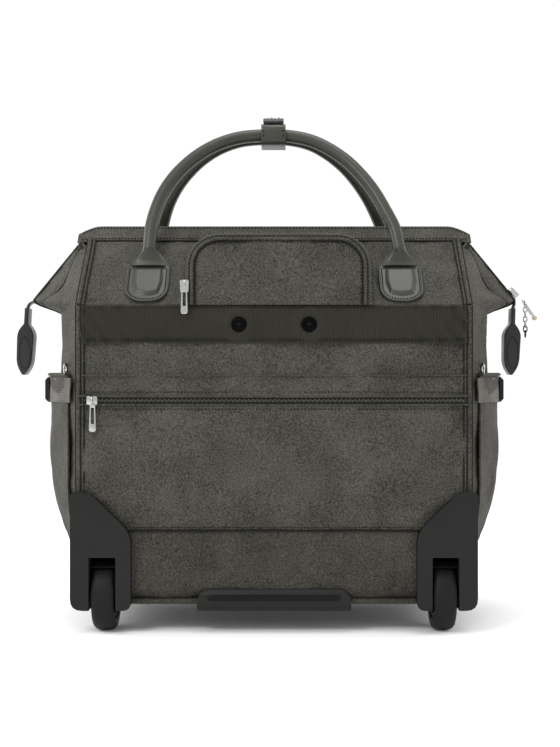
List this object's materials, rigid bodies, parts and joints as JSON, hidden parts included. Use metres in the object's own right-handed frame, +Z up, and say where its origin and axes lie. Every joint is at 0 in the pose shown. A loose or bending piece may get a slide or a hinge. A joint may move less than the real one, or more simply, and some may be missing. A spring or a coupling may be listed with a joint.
{
  "type": "rolling laptop case",
  "caption": "Soft two-wheeled laptop case with a framed zip-top mouth, twin rolled handles and a telescopic trolley handle stowed under a zipped back flap.",
  "frame": {"origin": "on the floor under the middle of the case's bounding box", "axes": "+Z up, -Y towards the wheeled back that the trolley handle rises from, +X to the right as that back is looked at"},
  "size_m": [0.5605, 0.2269, 0.5344],
  "materials": {
    "fabric": "coated woven cloth with a fine pebbled grain, dark olive grey",
    "leather": "smooth leather substitute, satin, grey olive",
    "webbing": "ribbed glossy woven strap, dark olive",
    "zip_tape": "woven tape with a moulded tooth chain",
    "lining": "plain woven lining, matt",
    "black_plastic": "moulded black plastic, satin",
    "rubber": "dark rubber, semi-matt",
    "polished_metal": "polished nickel",
    "steel": "plain steel",
    "aluminium": "satin anodised tube",
    "black_metal": "black painted screw head"
  },
  "bodies": {
    "case": {"back_panel": "fabric", "front_panel": "fabric", "side_panel_right": "fabric", "side_panel_left": "fabric", "base_board": "fabric", "back_pocket": "fabric", "trolley_pocket_gusset": "fabric", "wing_right": "fabric", "wing_left": "fabric", "side_pocket_right": "fabric", "side_pocket_left": "fabric", "front_pocket": "fabric", "webbing_band": "webbing", "side_strap_right": "webbing", "side_strap_left": "webbing", "back_zip": "zip_tape", "laptop_divider": "lining", "wheel_housing_right": "black_plastic", "wheel_housing_left": "black_plastic", "skid_plate": "black_plastic", "trolley_bezel": "black_plastic", "front_foot_right": "rubber", "front_foot_left": "rubber", "axle_right": "steel", "axle_left": "steel", "trolley_outer_tubes": "aluminium", "trolley_screw_right": "black_metal", "trolley_screw_left": "black_metal"},
    "mouth_back": {"yoke_back": "fabric", "mouth_band_back": "fabric", "mouth_bar_back": "steel", "mouth_zip_back": "zip_tape", "handle_tab_back_right": "leather", "handle_tab_back_left": "leather"},
    "mouth_front": {"yoke_front": "fabric", "mouth_band_front": "fabric", "mouth_bar_front": "steel", "mouth_zip_front": "zip_tape", "handle_tab_front_right": "leather", "handle_tab_front_left": "leather"},
    "handle_back": {"handle_back": "leather", "handle_wrap": "leather"},
    "handle_front": {"handle_front": "leather"},
    "wrap_tongue": {"wrap_tongue": "leather"},
    "wheel_right": {"tyre_right": "rubber", "wheel_hub_right": "black_plastic"},
    "wheel_left": {"tyre_left": "rubber", "wheel_hub_left": "black_plastic"},
    "trolley_stage_1": {"trolley_stage_1": "aluminium"},
    "trolley_stage_2": {"trolley_stage_2": "aluminium", "trolley_grip": "black_plastic"},
    "trolley_button": {"trolley_button": "black_plastic"},
    "trolley_flap": {"trolley_flap": "fabric"},
    "back_slider": {"back_slider": "polished_metal"},
    "back_puller": {"back_puller": "polished_metal"},
    "flap_zip_pull": {"flap_zip_pull": "polished_metal"},
    "main_slider": {"main_slider": "polished_metal"},
    "main_puller": {"main_puller": "polished_metal"},
    "zip_end_tab_right": {"zip_end_tab_right": "leather"},
    "zip_end_tab_left": {"zip_end_tab_left": "leather"}
  },
  "joints": [
    {"name": "wheel_right_spin", "type": "hinge", "parent": "case", "child": "wheel_right", "pos_m": [0.17, -0.08, 0.035], "axis": [1, 0, 0], "continuous": true},
    {"name": "wheel_left_spin", "type": "hinge", "parent": "case", "child": "wheel_left", "pos_m": [-0.17, -0.08, 0.035], "axis": [1, 0, 0], "continuous": true},
    {"name": "trolley_stage_1_slide", "type": "slide", "parent": "case", "child": "trolley_stage_1", "axis": [0, 0, 1], "range_m": [0, 0.265], "deforming": ["trolley_pocket_gusset"]},
    {"name": "trolley_stage_2_slide", "type": "slide", "parent": "trolley_stage_1", "child": "trolley_stage_2", "axis": [0, 0, 1], "range_m": [0, 0.265]},
    {"name": "trolley_button_press", "type": "slide", "parent": "trolley_stage_2", "child": "trolley_button", "axis": [0, 0, -1], "range_m": [0, 0.003], "stiffness_N_per_m": 600, "springref_m": -0.001},
    {"name": "trolley_flap_open", "type": "hinge", "parent": "case", "child": "trolley_flap", "pos_m": [0.0045, -0.104, 0.3285], "axis": [1, 0, 0], "range_deg": [0, 110]},
    {"name": "mouth_back_open", "type": "hinge", "parent": "case", "child": "mouth_back", "pos_m": [0, -0.098, 0.327], "axis": [1, 0, 0], "range_deg": [0, 28]},
    {"name": "mouth_front_open", "type": "hinge", "parent": "case", "child": "mouth_front", "pos_m": [0, 0.098, 0.327], "axis": [-1, 0, 0], "range_deg": [0, 28]},
    {"name": "handle_back_swing", "type": "hinge", "parent": "mouth_back", "child": "handle_back", "pos_m": [0, -0.06013, 0.3874], "axis": [1, 0, 0], "range_deg": [0, 115], "deforming": ["handle_wrap"]},
    {"name": "handle_front_swing", "type": "hinge", "parent": "mouth_front", "child": "handle_front", "pos_m": [0, 0.06013, 0.3874], "axis": [-1, 0, 0], "range_deg": [0, 115]},
    {"name": "wrap_tongue_open", "type": "hinge", "parent": "handle_back", "child": "wrap_tongue", "pos_m": [-0.001, 0.017, 0.5266], "axis": [-1, 0, 0], "range_deg": [0, 100]},
    {"name": "back_zip_slide", "type": "slide", "parent": "case", "child": "back_slider", "axis": [1, 0, 0], "range_m": [0, 0.36]},
    {"name": "back_puller_swing", "type": "hinge", "parent": "back_slider", "child": "back_puller", "pos_m": [-0.18, -0.1072, 0.229], "axis": [-1, 0, 0], "range_deg": [0, 100]},
    {"name": "flap_zip_slide", "type": "slide", "parent": "case", "child": "flap_zip_pull", "axis": [0, 0, 1], "range_m": [0, 0.03]},
    {"name": "main_zip_slide", "type": "slide", "parent": "case", "child": "main_slider", "axis": [-0.7021, 0, 0.712], "range_m": [0, 0.08]},
    {"name": "main_puller_swing", "type": "hinge", "parent": "main_slider", "child": "main_puller", "pos_m": [0.268, 0, 0.3384], "axis": [0, -1, 0], "range_deg": [0, 100]},
    {"name": "zip_end_tab_right_swing", "type": "hinge", "parent": "case", "child": "zip_end_tab_right", "pos_m": [0.257, 0, 0.3295], "axis": [0, -1, 0], "range_deg": [-4, 20]},
    {"name": "zip_end_tab_left_swing", "type": "hinge", "parent": "case", "child": "zip_end_tab_left", "pos_m": [-0.266, 0, 0.3295], "axis": [0, 1, 0], "range_deg": [-8, 60]}
  ]
}
